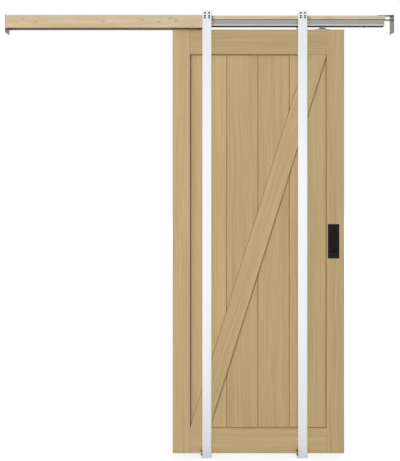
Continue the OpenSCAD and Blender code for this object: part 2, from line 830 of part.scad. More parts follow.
// The two axles of a carriage, with a riveted head at each end
module axles(x) {
    color(zinc) for (sx = [-1, 1])
        translate([x + sx * axle_pitch / 2, 0, axle_z]) rotate([90, 0, 0]) {
            cylinder(h = 2 * (axle_end + axle_head_h), r = axle_r, center = true);
            for (side = [0, 180]) rotate([side, 0, 0])
                translate([0, 0, axle_end]) cylinder(h = axle_head_h, r = axle_head_r);
        }
}

// Grooved nylon wheel number i of a hanger: 1 and 2 share the left axle, 3 and 4 the right one
module wheel(x, i) {
    sx = i < 3 ? -1 : 1;
    sy = i % 2 == 1 ? -1 : 1;
    hub_r = 5;
    dish = 0.8;
    color(nylon) translate([x + sx * axle_pitch / 2, sy * bead_y, axle_z]) rotate([90, 0, 0])
        rotate_extrude() difference() {
            translate([axle_r + hole_gap, -wheel_w / 2]) square([wheel_r - axle_r - hole_gap, wheel_w]);
            translate([groove_place, 0]) circle(groove_r);
            for (s = [-1, 1])
                translate([hub_r, s * (wheel_w / 2 - dish / 2) - dish / 2])
                    square([wheel_r - hub_r - 2.5, dish + (s > 0 ? cut : 0)]);
        }
}

header_board();
front_nailer();
mirror([0, 1, 0]) front_nailer();  // rear_nailer
track();
mirror([1, 0, 0]) right_end_bracket();  // left_end_bracket
right_end_bracket();
end_bracket_screws();
track_screws();
track_stop(left_stop_face, 1);  // left_track_stop
track_stop(right_stop_face, -1);  // right_track_stop
stop_buffer(left_stop_face, 1);  // left_stop_buffer
stop_buffer(right_stop_face, -1);  // right_stop_buffer
track_stop_screws();
front_stud(jamb_x);  // front_jamb_stud
mirror([0, 1, 0]) front_stud(jamb_x);  // rear_jamb_stud
front_stud(pocket_x);  // front_pocket_stud
mirror([0, 1, 0]) front_stud(pocket_x);  // rear_pocket_stud
stud_screws();
stud_tie(jamb_x);  // jamb_stud_tie
stud_tie(pocket_x);  // pocket_stud_tie
floor_bracket(jamb_x);  // jamb_floor_bracket
floor_bracket(pocket_x);  // pocket_floor_bracket
floor_bracket_screws();
front_door_guide();
mirror([0, 1, 0]) front_door_guide();  // rear_door_guide
guide_screws();
left_stile();
right_stile();
top_rail();
bottom_rail();
plank(0);  // plank_1
plank(1);  // plank_2
plank(2);  // plank_3
plank(3);  // plank_4
front_brace();
mirror([0, 1, 0]) front_brace();  // rear_brace
front_pull();
mirror([0, 1, 0]) front_pull();  // rear_pull
pull_screws();
hanger_plate(hanger_xs[0]);  // left_hanger_plate
hanger_plate(hanger_xs[1]);  // right_hanger_plate
hanger_plate_screws();
hanger_bolt(hanger_xs[0]);  // left_hanger_bolt
hanger_bolt(hanger_xs[1]);  // right_hanger_bolt
jam_nut(hanger_xs[0]);  // left_jam_nut
jam_nut(hanger_xs[1]);  // right_jam_nut
carriage(hanger_xs[0]);  // left_carriage
carriage(hanger_xs[1]);  // right_carriage
axles(hanger_xs[0]);  // left_axles
axles(hanger_xs[1]);  // right_axles
wheel(hanger_xs[0], 1);  // left_wheel_1
wheel(hanger_xs[0], 2);  // left_wheel_2
wheel(hanger_xs[0], 3);  // left_wheel_3
wheel(hanger_xs[0], 4);  // left_wheel_4
wheel(hanger_xs[1], 1);  // right_wheel_1
wheel(hanger_xs[1], 2);  // right_wheel_2
wheel(hanger_xs[1], 3);  // right_wheel_3
wheel(hanger_xs[1], 4);  // right_wheel_4
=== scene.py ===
# Looks of a pocket sliding door: a braced plank leaf on rollers, with the header, track and split
# studs of its frame. Metres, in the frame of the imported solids: +X to the right along the header,
# +Y to the back of the wall and +Z up.
import math

import bmesh
import bpy
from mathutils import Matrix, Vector


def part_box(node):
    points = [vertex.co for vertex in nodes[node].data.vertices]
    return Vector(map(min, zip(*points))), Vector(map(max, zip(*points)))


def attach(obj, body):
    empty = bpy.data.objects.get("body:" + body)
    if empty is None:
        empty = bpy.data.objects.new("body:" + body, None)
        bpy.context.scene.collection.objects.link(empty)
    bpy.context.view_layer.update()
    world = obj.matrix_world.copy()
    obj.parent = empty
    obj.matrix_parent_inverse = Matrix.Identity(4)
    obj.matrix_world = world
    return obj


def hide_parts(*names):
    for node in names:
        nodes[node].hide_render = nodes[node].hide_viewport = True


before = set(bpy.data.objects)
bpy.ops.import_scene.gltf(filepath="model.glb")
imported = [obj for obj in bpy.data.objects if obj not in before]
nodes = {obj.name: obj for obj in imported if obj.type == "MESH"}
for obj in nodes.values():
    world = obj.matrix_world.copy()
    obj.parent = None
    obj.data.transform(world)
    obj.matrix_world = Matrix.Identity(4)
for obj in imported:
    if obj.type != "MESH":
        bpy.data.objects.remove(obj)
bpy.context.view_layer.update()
scene = bpy.context.scene
MM = 0.001


def placed(name, data):
    """A new object, linked to the scene."""
    made = bpy.data.objects.new(name, data)
    scene.collection.objects.link(made)
    return made


# Camera: level, square to the front, with the horizon high in the picture
IMAGE_H = 461
FOCAL_PX = 857
HORIZON_ROW = 150
CAMERA_AT = (0.002, -4.1445, 1.475)

camera_data = bpy.data.cameras.new("camera")
camera_data.sensor_width = 36
camera_data.lens = camera_data.sensor_width * FOCAL_PX / IMAGE_H
camera_data.shift_y = -(IMAGE_H / 2 - HORIZON_ROW) / IMAGE_H
camera = placed("camera", camera_data)
camera.location = CAMERA_AT
camera.rotation_euler = (math.radians(90), 0, 0)
scene.camera = camera
scene.view_settings.view_transform = "Standard"

# Sockets of the mix node that carry colours, and the part of a noise's range that most of it fills
MIX_SHARE = 0
MIX_A = 6
MIX_B = 7
MIX_RESULT = 2
NOISE_RANGE = (0.3, 0.7)
# A face whose normal has this much of the board's length in it is a sawn end
END_FACE = (0.75, 0.90)


def rgba(value):
    """A plain colour with its alpha; any other value as it is."""
    return (*value, 1) if isinstance(value, tuple) else value


class Shader:
    """The node tree of a material or a world, with short calls for the nodes that the finishes use."""

    def __init__(self, owner):
        self.owner = owner
        owner.use_nodes = True
        self.tree = owner.node_tree
        self.tree.nodes.clear()

    def feed(self, socket, value):
        """Links another node's output to a socket, or sets the socket to a constant."""
        if isinstance(value, bpy.types.NodeSocket):
            self.tree.links.new(value, socket)
        else:
            socket.default_value = value

    def node(self, kind, inputs=None, **settings):
        made = self.tree.nodes.new(kind)
        for key, value in settings.items():
            setattr(made, key, value)
        for key, value in (inputs or {}).items():
            self.feed(made.inputs[key], value)
        return made

    def place(self):
        return self.node("ShaderNodeTexCoord").outputs["Object"]

    def normal(self):
        return self.node("ShaderNodeNewGeometry").outputs["Normal"]

    def mapped(self, place, move=(0, 0, 0), turn=(0, 0, 0), scale=(1, 1, 1)):
        inputs = {"Vector": place, "Location": move, "Rotation": turn, "Scale": scale}
        return self.node("ShaderNodeMapping", inputs).outputs["Vector"]

    def axes(self, place):
        return self.node("ShaderNodeSeparateXYZ", {"Vector": place}).outputs

    def joined(self, x, y, z):
        return self.node("ShaderNodeCombineXYZ", {0: x, 1: y, 2: z}).outputs[0]

    def noise(self, place, scale, detail=3.0, rough=0.5, distort=0.0):
        inputs = {"Vector": place, "Scale": scale, "Detail": detail, "Roughness": rough}
        inputs["Distortion"] = distort
        return self.node("ShaderNodeTexNoise", inputs).outputs["Fac"]

    def math(self, operation, a, b=0.0):
        return self.node("ShaderNodeMath", {0: a, 1: b}, operation=operation).outputs[0]

    def weighted(self, *parts):
        """Sum of values, each times its share."""
        total = None
        for value, share in parts:
            part = self.math("MULTIPLY", value, share)
            total = self.math("ADD", total, part) if total else part
        return total

    def spread(self, value, low, high, out_low=0.0, out_high=1.0):
        inputs = {"Value": value, "From Min": low, "From Max": high}
        inputs.update({"To Min": out_low, "To Max": out_high})
        return self.node("ShaderNodeMapRange", inputs).outputs["Result"]

    def mix(self, share, a, b, blend="MIX"):
        made = self.node("ShaderNodeMix", data_type="RGBA", blend_type=blend)
        self.feed(made.inputs[MIX_SHARE], share)
        self.feed(made.inputs[MIX_A], rgba(a))
        self.feed(made.inputs[MIX_B], rgba(b))
        return made.outputs[MIX_RESULT]

    def ramp(self, value, stops):
        made = self.node("ShaderNodeValToRGB", {"Fac": value})
        elements = made.color_ramp.elements
        while len(elements) < len(stops):
            elements.new(0.5)
        for element, (at, colour) in zip(elements, stops):
            element.position = at
            element.color = rgba(colour)
        return made.outputs["Color"]

    def ends(self, turn):
        """1 on a board's sawn ends. turn takes the board's length to Z."""
        along = self.axes(self.mapped(self.normal(), turn=turn))[2]
        return self.spread(self.math("ABSOLUTE", along), *END_FACE)

    def bump(self, height, distance, strength):
        inputs = {"Height": height, "Distance": distance, "Strength": strength}
        return self.node("ShaderNodeBump", inputs).outputs["Normal"]

    def surface(self, **inputs):
        """Ends a material in one principled shader; a key is a socket's name with _ for a space."""
        named = {key.replace("_", " "): value for key, value in inputs.items()}
        made = self.node("ShaderNodeBsdfPrincipled", named)
        self.node("ShaderNodeOutputMaterial", {"Surface": made.outputs[0]})
        return self.owner


def material_shader(name):
    return Shader(bpy.data.materials.new(name))


# Turns that take a board's length to the texture's Z: along Z for stiles and planks, X for rails
UPRIGHT = (0, 0, 0)
LEVEL = (0, math.radians(90), 0)

# Oak of the leaf: straight, fine grain that sways a little
OAK_DARK = (0.400, 0.285, 0.138)
OAK_MID = (0.470, 0.343, 0.176)
OAK_LIGHT = (0.535, 0.398, 0.214)
OAK_STOPS = ((0.36, OAK_DARK), (0.50, OAK_MID), (0.66, OAK_LIGHT))
OAK_PORE = (0.30, 0.205, 0.095)
OAK_PORE_SHARE = 0.30
OAK_END = (0.335, 0.232, 0.112)
# Colour of the painted shade in the panel's corners
OAK_PAINTED_SHADE = (0.175, 0.122, 0.055)
OAK_SWAY = 30 * MM
OAK_RELIEF = 0.12 * MM


def leaf_timber(name, turn, seed, tone, painted_shade_share=None):
    """Oak with its length turned to Z. The last argument gives the share of painted shade in the panel's
    corners.
    """
    s = material_shader(name)
    place = s.mapped(s.place(), move=(seed * 3.7, seed * 1.9, seed * 5.3), turn=turn)
    sway = s.noise(s.mapped(place, scale=(1.2, 1.2, 0.9)), scale=3.0, detail=1.0)
    x, y, z = s.axes(place)
    swayed = s.joined(s.math("ADD", x, s.math("MULTIPLY", sway, OAK_SWAY)), y, z)
    broad = s.noise(s.mapped(swayed, scale=(1, 1, 0.05)), scale=16.0, detail=2.0)
    streak = s.noise(s.mapped(swayed, scale=(1, 1, 0.012)), scale=120.0, detail=3.0, rough=0.6)
    fine = s.noise(s.mapped(swayed, scale=(1, 1, 0.014)), scale=520.0, detail=2.0, rough=0.6)
    pores = s.noise(s.mapped(swayed, scale=(1, 1, 0.045)), scale=1100.0, detail=1.0)
    pores = s.spread(pores, 0.60, 0.72)
    grain = s.weighted((broad, 0.14), (streak, 0.50), (fine, 0.36))
    colour = s.ramp(grain, [(at, tuple(c * tone for c in shade)) for at, shade in OAK_STOPS])
    colour = s.mix(s.math("MULTIPLY", pores, OAK_PORE_SHARE), colour, OAK_PORE)
    rings = s.noise(s.mapped(place, scale=(0.35, 1, 0)), scale=210.0, rough=0.6, distort=0.4)
    rings = s.spread(rings, *NOISE_RANGE, 0.55, 0.95)
    colour = s.mix(s.math("MULTIPLY", s.ends(turn), rings), colour, OAK_END)
    # Painted shade where shade falls in the panel's corners
    if painted_shade_share:
        colour = s.mix(painted_shade_share(s), colour, OAK_PAINTED_SHADE)
    height = s.math("SUBTRACT", s.math("MULTIPLY", fine, 0.5), pores)
    return s.surface(
        Base_Color=colour,
        Roughness=s.spread(streak, *NOISE_RANGE, 0.52, 0.64),
        Normal=s.bump(height, OAK_RELIEF, 0.6),
        Specular_IOR_Level=0.35,
    )


# Pine of the header: wider growth bands along X, which rise over the knots
PINE_DARK = (0.500, 0.390, 0.240)
PINE_MID = (0.595, 0.480, 0.312)
PINE_LIGHT = (0.655, 0.545, 0.375)
PINE_STOPS = ((0.34, PINE_DARK), (0.50, PINE_MID), (0.66, PINE_LIGHT))
PINE_KNOT = (0.42, 0.300, 0.180)
PINE_BLUSH = (0.545, 0.410, 0.270)
PINE_BLUSH_SHARE = 0.75
PINE_END = (0.450, 0.330, 0.190)
PINE_SWAY = 50 * MM
PINE_RELIEF = 0.2 * MM
# A knot's height over its length, how fast it stops bending the bands, and how far it bends them
KNOT_FLATNESS = 0.62
KNOT_PULL_FALL = -1.1
KNOT_PULL = 16 * MM
# The knot's rings and its heart fade between these distances, in knot sizes
KNOT_RINGS = 17.0
KNOT_RING_FADE = (1.7, 0.9)
KNOT_HEART_FADE = (1.25, 0.35)
KNOT_HEART_SHARE = 0.72


def knot_distance(s, knots):
    """Distance to the nearest knot, in knot sizes."""
    x, _, z = s.axes(s.place())
    near = None
    for knot_x, knot_z, size in knots:
        dx = s.math("MULTIPLY", s.math("SUBTRACT", x, knot_x), KNOT_FLATNESS / size)
        dz = s.math("MULTIPLY", s.math("SUBTRACT", z, knot_z), 1.0 / size)
        squares = s.math("ADD", s.math("MULTIPLY", dx, dx), s.math("MULTIPLY", dz, dz))
        far = s.math("SQRT", squares)
        near = s.math("MINIMUM", far, near) if near else far
    return near


def frame_timber(name, seed, tint, knots=()):
    """Pine along X. tint takes the growth bands a little warmer or greyer, red by green by blue."""
    s = material_shader(name)
    place = s.mapped(s.place(), move=(seed * 2.3, seed * 4.1, seed * 1.7))
    near = knot_distance(s, knots)
    sway = s.noise(s.mapped(place, scale=(0.9, 2, 2)), scale=6.0, detail=2.0)
    lift = s.math("MULTIPLY", sway, PINE_SWAY)
    if near:
        pull = s.math("EXPONENT", s.math("MULTIPLY", near, KNOT_PULL_FALL))
        lift = s.math("ADD", lift, s.math("MULTIPLY", pull, KNOT_PULL))
    x, y, z = s.axes(place)
    bent = s.joined(x, y, s.math("ADD", z, lift))
    bands = s.noise(s.mapped(bent, scale=(0.03, 1, 1)), scale=70.0, detail=3.0, rough=0.62)
    broad = s.noise(s.mapped(bent, scale=(0.25, 1, 1)), scale=13.0, detail=2.0)
    fine = s.noise(s.mapped(bent, scale=(0.02, 1, 1)), scale=480.0, detail=2.0, rough=0.6)
    grain = s.weighted((bands, 0.55), (fine, 0.2), (broad, 0.25))
    tinted = [(at, tuple(c * t for c, t in zip(shade, tint))) for at, shade in PINE_STOPS]
    colour = s.ramp(grain, tinted)
    blush = s.spread(s.noise(s.mapped(place, scale=(0.75, 1, 1)), scale=15.0), 0.45, 0.72)
    colour = s.mix(s.math("MULTIPLY", blush, PINE_BLUSH_SHARE), colour, PINE_BLUSH)
    if near:
        rings = s.spread(s.math("SINE", s.math("MULTIPLY", near, KNOT_RINGS)), -1.0, 1.0, 0.25, 0.5)
        rings = s.math("MULTIPLY", s.spread(near, *KNOT_RING_FADE), rings)
        colour = s.mix(rings, colour, PINE_BLUSH)
        heart = s.spread(near, *KNOT_HEART_FADE, 0.0, KNOT_HEART_SHARE)
        colour = s.mix(heart, colour, PINE_KNOT)
    growth = s.noise(s.mapped(place, scale=(0, 0.5, 1)), scale=160.0, rough=0.6, distort=0.6)
    growth = s.spread(growth, *NOISE_RANGE, 0.4, 0.95)
    colour = s.mix(s.math("MULTIPLY", s.ends(LEVEL), growth), colour, PINE_END)
    height = s.weighted((bands, 0.6), (fine, 0.4))
    return s.surface(
        Base_Color=colour,
        Roughness=s.spread(bands, *NOISE_RANGE, 0.58, 0.72),
        Normal=s.bump(height, PINE_RELIEF, 0.6),
        Specular_IOR_Level=0.3,
    )


# Painted light on a tall piece: its paint is brightest at the middle height and darker with the square
# of the way from there, out to a reach above it. Its lowest part greys towards the foot, mottled
PAINTED_LIGHT_MIDDLE = 1.10
PAINTED_LIGHT_REACH = 0.85
PAINTED_LIGHT_PEAK = 1.035
PAINTED_LIGHT_FALL = 0.192
FOOT_REACH = 70 * MM
PEEL_RELIEF = 0.05 * MM


def powder_coat(name, colour, shade, gloss, foot=None):
    """Baked paint with a fine orange peel. foot is the colour that a tall piece greys to at its foot;
    such a piece also gets painted light, brightest at mid-height.
    """
    s = material_shader(name)
    place = s.place()
    peel = s.noise(place, scale=900.0, detail=2.0)
    cloud = s.noise(s.mapped(place, scale=(1, 1, 0.25)), scale=9.0, detail=3.0)
    base = s.mix(s.spread(cloud, *NOISE_RANGE), colour, shade)
    if foot:
        height = s.axes(place)[2]
        # Painted light: darker with the square of the way from mid-height
        away = s.math("MINIMUM", s.math("SUBTRACT", height, PAINTED_LIGHT_MIDDLE), PAINTED_LIGHT_REACH)
        painted_falloff = s.math("MULTIPLY", s.math("MULTIPLY", away, away), PAINTED_LIGHT_FALL)
        base = s.mix(1.0, base, s.math("SUBTRACT", PAINTED_LIGHT_PEAK, painted_falloff), "MULTIPLY")
        foot_mottle = s.noise(s.mapped(place, scale=(1, 1, 0.5)), scale=60.0, detail=4.0, rough=0.6)
        foot_mottle = s.spread(foot_mottle, 0.25, 0.75, 0.55, 1.0)
        low = s.spread(height, FOOT_REACH, 0.0)
        base = s.mix(s.math("MULTIPLY", low, foot_mottle), base, foot)
    return s.surface(
        Base_Color=base,
        Roughness=s.spread(cloud, *NOISE_RANGE, 0.36, 0.46),
        Normal=s.bump(peel, PEEL_RELIEF, 0.5),
        Specular_IOR_Level=gloss,
    )


# Track: grey sides, a painted highlight on the rib along the foot and painted shade on the underside,
# which turns up round its edge
TRACK_LIGHT = (0.418, 0.404, 0.378)
TRACK_DARK = (0.328, 0.316, 0.292)
TRACK_RIB_HIGHLIGHT = (0.56, 0.555, 0.545)
TRACK_UNDER_SHADE = (0.006, 0.006, 0.006)
TRACK_METAL = 0.75
TRACK_RELIEF = 0.04 * MM
RIB_HIGHLIGHT_HEIGHT = 10.5 * MM
RIB_HIGHLIGHT_BLEND = 0.3 * MM
UNDER_SHADE_EDGE = 1.6 * MM
UNDER_SHADE_EDGE_FULL = 0.8 * UNDER_SHADE_EDGE
UNDER_SHADE_FACE = (-0.80, -0.95)


def extruded_track(name):
    """Satin extrusion: die lines along X, a painted highlight on the lower rib and painted shade on the
    underside.
    """
    s = material_shader(name)
    place = s.place()
    height = s.axes(place)[2]
    drawn = s.mapped(place, scale=(0.004, 1, 1))
    lines = s.noise(drawn, scale=900.0, detail=2.0, rough=0.6)
    wide = s.noise(drawn, scale=120.0, detail=2.0)
    tone = s.weighted((lines, 0.6), (wide, 0.4))
    colour = s.mix(s.spread(tone, 0.35, 0.65), TRACK_DARK, TRACK_LIGHT)
    rib_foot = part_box("track")[0].z
    rib_top = rib_foot + RIB_HIGHLIGHT_HEIGHT
    # Painted highlight on the lower rib
    colour = s.mix(s.spread(height, rib_top, rib_top - RIB_HIGHLIGHT_BLEND), colour, TRACK_RIB_HIGHLIGHT)
    # Painted shade: the underside and the foot of its edge, near black and not metallic
    down = s.spread(s.axes(s.normal())[2], *UNDER_SHADE_FACE)
    edge = s.spread(height, rib_foot + UNDER_SHADE_EDGE, rib_foot + UNDER_SHADE_EDGE_FULL)
    painted_under_shade = s.math("MAXIMUM", down, edge)
    return s.surface(
        Base_Color=s.mix(painted_under_shade, colour, TRACK_UNDER_SHADE),
        Metallic=s.spread(painted_under_shade, 0.0, 1.0, TRACK_METAL, 0.0),
        Roughness=s.spread(lines, *NOISE_RANGE, 0.37, 0.47),
        Normal=s.bump(lines, TRACK_RELIEF, 0.5),
        Specular_IOR_Level=0.0,
    )


def galvanised(name, light, dark, rough):
    """Zinc coated sheet: flat crystals that differ a little in tone and gloss."""
    s = material_shader(name)
    place = s.place()
    cells = s.node("ShaderNodeTexVoronoi", {"Vector": place, "Scale": 130.0}).outputs["Color"]
    tone = s.axes(cells)[0]
    cloud = s.noise(place, scale=45.0, detail=3.0)
    return s.surface(
        Base_Color=s.mix(s.weighted((tone, 0.6), (cloud, 0.4)), dark, light),
        Metallic=0.6,
        Roughness=s.spread(tone, 0.0, 1.0, rough - 0.07, rough + 0.07),
        Normal=s.bump(cloud, 0.1 * MM, 0.4),
    )


def plated(name, light, dark, rough):
    """Plated or oxidised steel with turning marks and small stains."""
    s = material_shader(name)
    place = s.place()
    marks = s.noise(place, scale=1500.0, detail=2.0)
    stain = s.noise(place, scale=160.0, detail=3.0)
    return s.surface(
        Base_Color=s.mix(s.spread(stain, 0.35, 0.7), light, dark),
        Metallic=1.0,
        Roughness=s.spread(stain, *NOISE_RANGE, rough, rough + 0.14),
        Normal=s.bump(marks, 0.03 * MM, 0.4),
    )


def moulded(name, light, dark, rough, grain, depth):
    """Moulded plastic or rubber with a fine erosion texture."""
    s = material_shader(name)
    place = s.place()
    skin = s.noise(place, scale=grain, detail=2.0)
    cloud = s.noise(place, scale=70.0, detail=2.0)
    return s.surface(
        Base_Color=s.mix(s.spread(cloud, *NOISE_RANGE), light, dark),
        Roughness=s.spread(cloud, *NOISE_RANGE, rough - 0.06, rough + 0.06),
        Normal=s.bump(skin, depth, 0.5),
    )


def finish(material, *names):
    """Gives these CAD nodes one material."""
    for name in names:
        for slot in nodes[name].material_slots:
            slot.link = "OBJECT"
            slot.material = material


# The brace's slope, from the panel that it crosses and its width: its grain runs along it
BRACE_WIDTH = 89 * MM
brace_low, brace_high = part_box("front_brace")
panel_w = brace_high.x - brace_low.x
panel_h = brace_high.z - brace_low.z
brace_length = math.sqrt(panel_w**2 + panel_h**2 - BRACE_WIDTH**2)
brace_slope = (panel_w * panel_h - BRACE_WIDTH * brace_length) / (panel_h**2 - BRACE_WIDTH**2)
BRACE_LEAN = math.atan(brace_slope)
SLANTED = (0, -BRACE_LEAN, 0)

# Painted shade on the planks: a dark line along the brace's upper edge, which starts a little under
# the brace, and the left stile's painted shadow, which fades out beside it
SHADE_LINE_WIDTH = 2.2 * MM
SHADE_LINE_START = -0.2 * SHADE_LINE_WIDTH
SHADE_LINE_FULL = 0.7 * SHADE_LINE_WIDTH
STILE_SHADOW_SHARE = 0.40
STILE_SHADOW_REACH = 36 * MM


def painted_plank_shade(s):
    """Share of painted shade on a plank: the line along the brace and the left stile's painted shadow.
    """
    x, _, z = s.axes(s.place())
    across = s.math("MULTIPLY", s.math("SUBTRACT", x, brace_low.x), math.cos(BRACE_LEAN))
    up = s.math("MULTIPLY", s.math("SUBTRACT", z, brace_low.z), math.sin(BRACE_LEAN))
    above = s.math("SUBTRACT", up, across)
    inside = s.spread(above, SHADE_LINE_START, 0.0)
    shade_line = s.math("MULTIPLY", inside, s.spread(above, SHADE_LINE_WIDTH, SHADE_LINE_FULL))
    stile_shadow = s.spread(x, brace_low.x, brace_low.x + STILE_SHADOW_REACH, STILE_SHADOW_SHARE, 0.0)
    return s.math("MAXIMUM", shade_line, stile_shadow)


# Boards of the leaf: node, turn of the grain, seed of the grain and tone
LEAF_BOARDS = (
    ("left_stile", UPRIGHT, 1.0, 1.005),
    ("right_stile", UPRIGHT, 2.0, 0.945),
    ("top_rail", LEVEL, 3.0, 0.91),
    ("bottom_rail", LEVEL, 4.0, 0.99),
    ("plank_1", UPRIGHT, 5.0, 1.03),
    ("plank_2", UPRIGHT, 6.0, 0.955),
    ("plank_3", UPRIGHT, 7.0, 0.955),
    ("plank_4", UPRIGHT, 8.0, 0.97),
    ("front_brace", SLANTED, 9.0, 0.975),
    ("rear_brace", SLANTED, 10.0, 0.975),
)
LEAF_NAMES = [board for board, _, _, _ in LEAF_BOARDS]
for board, turn, seed, tone in LEAF_BOARDS:
    # The planks get painted shade along the brace and beside the left stile
    painted_shade_share = painted_plank_shade if board.startswith("plank") else None
    finish(leaf_timber("timber_" + board, turn, seed, tone, painted_shade_share), board)

# Knots of the nailers: place along X, height and size, in metres
FRONT_KNOTS = (
    (-0.875, 2.081, 0.003),
    (-0.845, 2.101, 0.006),
    (-0.784, 2.089, 0.008),
    (-0.460, 2.090, 0.005),
    (-0.275, 2.099, 0.007),
    (-0.195, 2.088, 0.006),
    (-0.140, 2.104, 0.007),
    (-0.112, 2.094, 0.009),
)
REAR_KNOTS = (
    (-0.720, 2.085, 0.008),
    (-0.410, 2.100, 0.006),
    (-0.090, 2.092, 0.008),
)
WARM_PINE = (0.945, 0.935, 0.915)
GREY_PINE = (0.99, 1.015, 1.08)
HEADER_BOARDS = ("front_nailer", "rear_nailer", "header_board")
finish(frame_timber("timber_front_nailer", 1.0, WARM_PINE, FRONT_KNOTS), "front_nailer")
finish(frame_timber("timber_rear_nailer", 2.0, WARM_PINE, REAR_KNOTS), "rear_nailer")
finish(frame_timber("timber_header_board", 3.0, GREY_PINE), "header_board")

STUDS = ("front_jamb_stud", "rear_jamb_stud", "front_pocket_stud", "rear_pocket_stud")
STUD_WHITE = (0.83, 0.845, 0.865)
STUD_SHADE = (0.80, 0.815, 0.84)
STUD_FOOT = (0.56, 0.57, 0.58)
finish(powder_coat("white_stud", STUD_WHITE, STUD_SHADE, 0.5, STUD_FOOT), *STUDS)

finish(extruded_track("aluminium_track"), "track")

SHEET_STEEL = (
    "left_end_bracket", "right_end_bracket", "jamb_stud_tie", "pocket_stud_tie",
    "jamb_floor_bracket", "pocket_floor_bracket", "left_hanger_plate", "right_hanger_plate",
    "left_carriage", "right_carriage", "left_track_stop", "right_track_stop",
)
ZINC_LIGHT = (0.272, 0.274, 0.244)
ZINC_DARK = (0.175, 0.177, 0.157)
finish(galvanised("zinc_sheet", ZINC_LIGHT, ZINC_DARK, rough=0.46), *SHEET_STEEL)

BRIGHT = (
    "end_bracket_screws", "track_screws", "guide_screws", "hanger_plate_screws",
    "left_hanger_bolt", "right_hanger_bolt", "left_jam_nut", "right_jam_nut",
    "left_axles", "right_axles",
)
STEEL_LIGHT = (0.62, 0.62, 0.60)
STEEL_DARK = (0.46, 0.46, 0.44)
bright_steel = plated("bright_steel", STEEL_LIGHT, STEEL_DARK, rough=0.26)
finish(bright_steel, *BRIGHT)

PULLS = ("front_pull", "rear_pull")
PULL_DARK = (0.0075, 0.0068, 0.0056)
PULL_LIGHT = (0.011, 0.010, 0.008)
finish(powder_coat("black_pull_paint", PULL_DARK, PULL_LIGHT, 0.12), *PULLS)

BLACK_SCREWS = ("stud_screws", "floor_bracket_screws", "track_stop_screws", "pull_screws")
OXIDE_LIGHT = (0.014, 0.014, 0.014)
OXIDE_DARK = (0.008, 0.008, 0.008)
finish(plated("black_oxide", OXIDE_LIGHT, OXIDE_DARK, rough=0.38), *BLACK_SCREWS)

WHEELS = [f"{side}_wheel_{i}" for side in ("left", "right") for i in range(1, 5)]
GUIDES = ("front_door_guide", "rear_door_guide")
NYLON_LIGHT = (0.74, 0.73, 0.69)
NYLON_DARK = (0.68, 0.67, 0.63)
nylon = moulded("white_nylon", NYLON_LIGHT, NYLON_DARK, rough=0.42, grain=1400.0, depth=0.04 * MM)
finish(nylon, *WHEELS, *GUIDES)

BUFFERS = ("left_stop_buffer", "right_stop_buffer")
RUBBER_DARK = (0.018, 0.018, 0.018)
RUBBER_LIGHT = (0.026, 0.026, 0.026)
rubber = moulded("black_rubber", RUBBER_DARK, RUBBER_LIGHT, rough=0.75, grain=900.0, depth=0.1 * MM)
finish(rubber, *BUFFERS)

# Softened edges on the timber, the sheet metal and the moulded guides
WELD_REACH = 0.01 * MM
EDGE_SEGMENTS = 2
EDGE_ANGLE = 35
LEAF_EDGE = 0.4 * MM
HEADER_EDGE = 0.6 * MM
SHEET_EDGE = 0.3 * MM
BLOCK_EDGE = 0.25 * MM


def soften(width, *names):
    """Rounds the sharp edges of these CAD nodes."""
    for name in names:
        weld = nodes[name].modifiers.new("weld", "WELD")
        weld.merge_threshold = WELD_REACH
        bevel = nodes[name].modifiers.new("bevel", "BEVEL")
        bevel.width = width
        bevel.segments = EDGE_SEGMENTS
        bevel.limit_method = "ANGLE"
        bevel.angle_limit = math.radians(EDGE_ANGLE)


soften(LEAF_EDGE, *LEAF_NAMES)
soften(HEADER_EDGE, *HEADER_BOARDS)
soften(SHEET_EDGE, *SHEET_STEEL, *PULLS)
soften(BLOCK_EDGE, "track", *GUIDES)

# Hanger bolts and jam nuts with their threads and chamfers
THREAD_PITCH = 1.25 * MM
THREAD_DEPTH = 0.6 * MM
THREAD_CUT = 0.9 * THREAD_DEPTH
THREAD_TAPER = 1.5 * THREAD_DEPTH
THREAD_STEPS = 6
BOLT_RADIUS = 4 * MM
BOLT_HEAD = 5 * MM
HEX_FLATS = 13 * MM
HEX_END_RADIUS = HEX_FLATS / 2 * 0.96
HEX_CHAMFER_SLOPE = 0.577
BORE_RADIUS = BOLT_RADIUS + 0.06 * MM
LEAD_RADIUS = BOLT_RADIUS + 0.8 * MM
LEAD_HEIGHT = 0.6 * MM
ROUND_STEPS = 48
ROUND_ANGLES = [2 * math.pi * i / ROUND_STEPS for i in range(ROUND_STEPS)]


def round_ring(radius, z):
    return [(radius, z)] * ROUND_STEPS


def hex_radius(angle):
    """Distance from the axis to a hexagon's side, with a corner on +X."""
    off = (angle + math.radians(30)) % math.radians(60) - math.radians(30)
    return HEX_FLATS / 2 / math.cos(math.radians(30) - abs(off))


def hex_ring(z, inward):
    """Ring where a hexagon's sides meet the cone that turns off its corners."""
    radii = [hex_radius(angle) for angle in ROUND_ANGLES]
    return [(r, z + inward * (r - HEX_END_RADIUS) * HEX_CHAMFER_SLOPE) for r in radii]


def hex_rings(bottom, top):
    """Rings up a hexagon whose corners are turned off at both ends."""
    low_end = round_ring(HEX_END_RADIUS, bottom)
    high_end = round_ring(HEX_END_RADIUS, top)
    return [low_end, hex_ring(bottom, 1), hex_ring(top, -1), high_end]


def thread_rings(bottom, top):
    """Rings up a screw thread that runs out at its top."""
    steps = round((top - bottom) / THREAD_PITCH * THREAD_STEPS)
    rings = []
    for step in range(steps + 1):
        z = bottom + (top - bottom) * step / steps
        run_out = THREAD_DEPTH * (1 - min(1.0, (top - z) / THREAD_TAPER))
        row = []
        for angle in ROUND_ANGLES:
            phase = (z / THREAD_PITCH - angle / (2 * math.pi)) % 1.0
            cut = THREAD_CUT * abs(2 * phase - 1)
            row.append((BOLT_RADIUS - max(cut, run_out), z))
        rings.append(row)
    return rings


